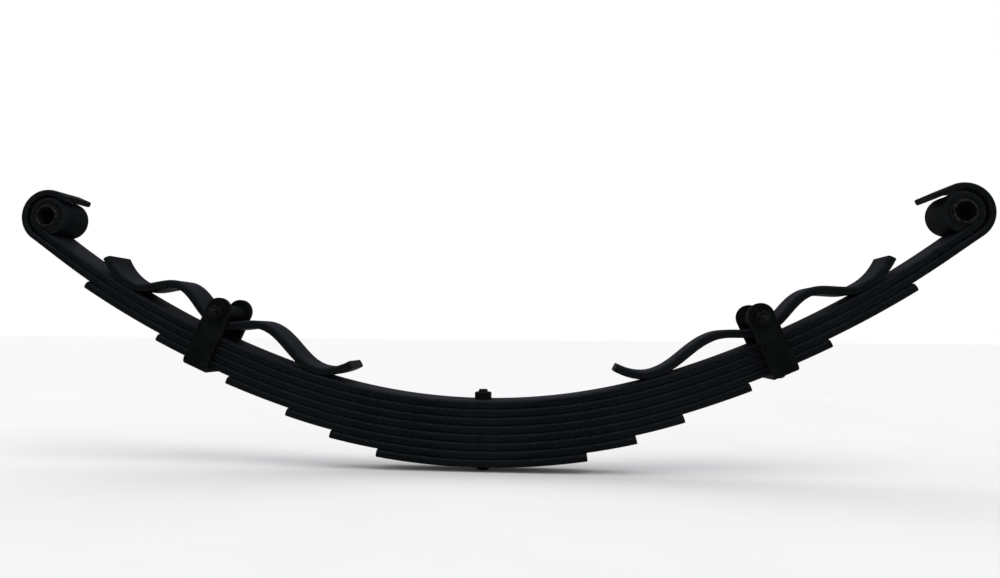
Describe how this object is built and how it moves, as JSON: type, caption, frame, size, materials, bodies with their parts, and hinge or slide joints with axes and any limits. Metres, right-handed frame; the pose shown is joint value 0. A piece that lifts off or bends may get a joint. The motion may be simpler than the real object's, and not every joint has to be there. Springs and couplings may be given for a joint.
{
  "type": "multi-leaf suspension spring",
  "caption": "Arched multi-leaf vehicle spring with rolled and wrapped eyes, rubber-bushed pin sleeves, a centre bolt, bolted rebound clips and wavy anti-rattle springs.",
  "frame": {"origin": "on the axle seat: the underside of the leaf pack on the centre bolt's axis, where the bolt's round head begins", "axes": "+X along the spring to its front end, +Y across the leaves, +Z from the axle seat up through the pack to the centre nut"},
  "size_m": [1.4296, 0.1065, 0.4146],
  "materials": {
    "spring_paint": "satin black paint over hot-rolled spring steel",
    "clip_paint": "satin black paint over pressed steel strap",
    "fastener_paint": "semi-gloss black paint over bolts and nuts",
    "sleeve_steel": "black paint rubbed thin on a machined steel end",
    "bush_rubber": "matt moulded rubber"
  },
  "bodies": {
    "leaf_pack": {"leaf_1_main": "spring_paint", "leaf_2_wrapper": "spring_paint", "leaf_3": "spring_paint", "leaf_4": "spring_paint", "leaf_5": "spring_paint", "leaf_6": "spring_paint", "leaf_7": "spring_paint", "leaf_8": "spring_paint", "centre_bolt": "fastener_paint", "centre_nut": "fastener_paint"},
    "front_arm": {"front_clip_strap": "clip_paint", "front_clip_bolt": "fastener_paint", "front_clip_nut": "fastener_paint", "front_clip_spacer": "fastener_paint", "front_clip_rivet": "fastener_paint", "front_wave_spring": "spring_paint"},
    "rear_arm": {"rear_clip_strap": "clip_paint", "rear_clip_bolt": "fastener_paint", "rear_clip_nut": "fastener_paint", "rear_clip_spacer": "fastener_paint", "rear_clip_rivet": "fastener_paint", "rear_wave_spring": "spring_paint"},
    "front_eye": {"front_bush_rubber": "bush_rubber"},
    "rear_eye": {"rear_bush_rubber": "bush_rubber"},
    "front_pin_sleeve": {"front_bush_sleeve": "sleeve_steel"},
    "rear_pin_sleeve": {"rear_bush_sleeve": "sleeve_steel"}
  },
  "joints": [
    {"name": "front_flex", "type": "hinge", "parent": "leaf_pack", "child": "front_arm", "pos_m": [0.2087, 0, 0.0964], "axis": [0, 1, 0], "range_deg": [-2, 15], "stiffness_Nm_per_rad": 33000, "deforming": ["leaf_1_main", "leaf_2_wrapper", "leaf_3", "leaf_4", "leaf_5", "leaf_6", "leaf_7", "leaf_8", "front_wave_spring"]},
    {"name": "front_tip_flex", "type": "hinge", "parent": "front_arm", "child": "front_eye", "pos_m": [0.5406, 0, 0.2441], "axis": [0, 1, 0], "range_deg": [-1.5, 10.5], "deforming": ["leaf_1_main", "leaf_2_wrapper", "leaf_3", "leaf_4", "front_wave_spring"]},
    {"name": "front_bush_twist", "type": "hinge", "parent": "front_eye", "child": "front_pin_sleeve", "pos_m": [0.67205, 0, 0.3673], "axis": [0, 1, 0], "range_deg": [-20, 20], "stiffness_Nm_per_rad": 300},
    {"name": "rear_flex", "type": "hinge", "parent": "leaf_pack", "child": "rear_arm", "pos_m": [-0.2087, 0, 0.0964], "axis": [0, -1, 0], "range_deg": [-2, 15], "stiffness_Nm_per_rad": 33000, "deforming": ["leaf_1_main", "leaf_2_wrapper", "leaf_3", "leaf_4", "leaf_5", "leaf_6", "leaf_7", "leaf_8", "rear_wave_spring"]},
    {"name": "rear_tip_flex", "type": "hinge", "parent": "rear_arm", "child": "rear_eye", "pos_m": [-0.5406, 0, 0.2441], "axis": [0, -1, 0], "range_deg": [-1.5, 10.5], "deforming": ["leaf_1_main", "leaf_2_wrapper", "leaf_3", "leaf_4", "rear_wave_spring"]},
    {"name": "rear_bush_twist", "type": "hinge", "parent": "rear_eye", "child": "rear_pin_sleeve", "pos_m": [-0.67205, 0, 0.3673], "axis": [0, -1, 0], "range_deg": [-20, 20], "stiffness_Nm_per_rad": 300}
  ],
  "couplings": [
    {"joint": "front_tip_flex", "follows": "front_flex", "ratio": 0.66},
    {"joint": "rear_tip_flex", "follows": "rear_flex", "ratio": 0.66}
  ]
}
